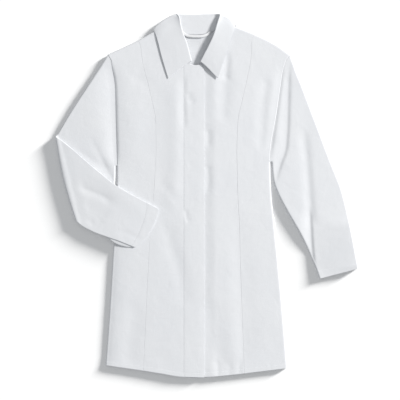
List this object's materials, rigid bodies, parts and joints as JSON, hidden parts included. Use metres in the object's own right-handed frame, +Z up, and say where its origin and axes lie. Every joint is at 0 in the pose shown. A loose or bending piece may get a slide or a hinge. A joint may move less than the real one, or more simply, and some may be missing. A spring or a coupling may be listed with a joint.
{
  "type": "work coat",
  "caption": "Women's collared work coat laid flat, thigh length, one sleeve straight and one bent back at the elbow, with a hidden button closing.",
  "frame": {"origin": "the point of the back's underside on the centre line of the coat, 453 mm up from the hem's lowest point, in the plane that the coat lies on", "axes": "+X towards the wearer's left, +Y from the hem to the collar, +Z up from the surface that the coat lies on to its front"},
  "size_m": [0.7562, 0.9096, 0.024],
  "materials": {
    "cotton": "matt white twill",
    "tape": "matt white tape",
    "buttons": "satin white"
  },
  "bodies": {
    "root": {"back": "cotton", "side_front_right": "cotton", "centre_front_right": "cotton", "side_front_left": "cotton", "centre_front_left": "cotton", "sleeve_right": "cotton", "sleeve_left": "cotton", "collar": "cotton", "hanger_loop": "tape", "button_1": "buttons", "button_2": "buttons", "button_3": "buttons", "button_4": "buttons", "button_5": "buttons"}
  },
  "joints": []
}
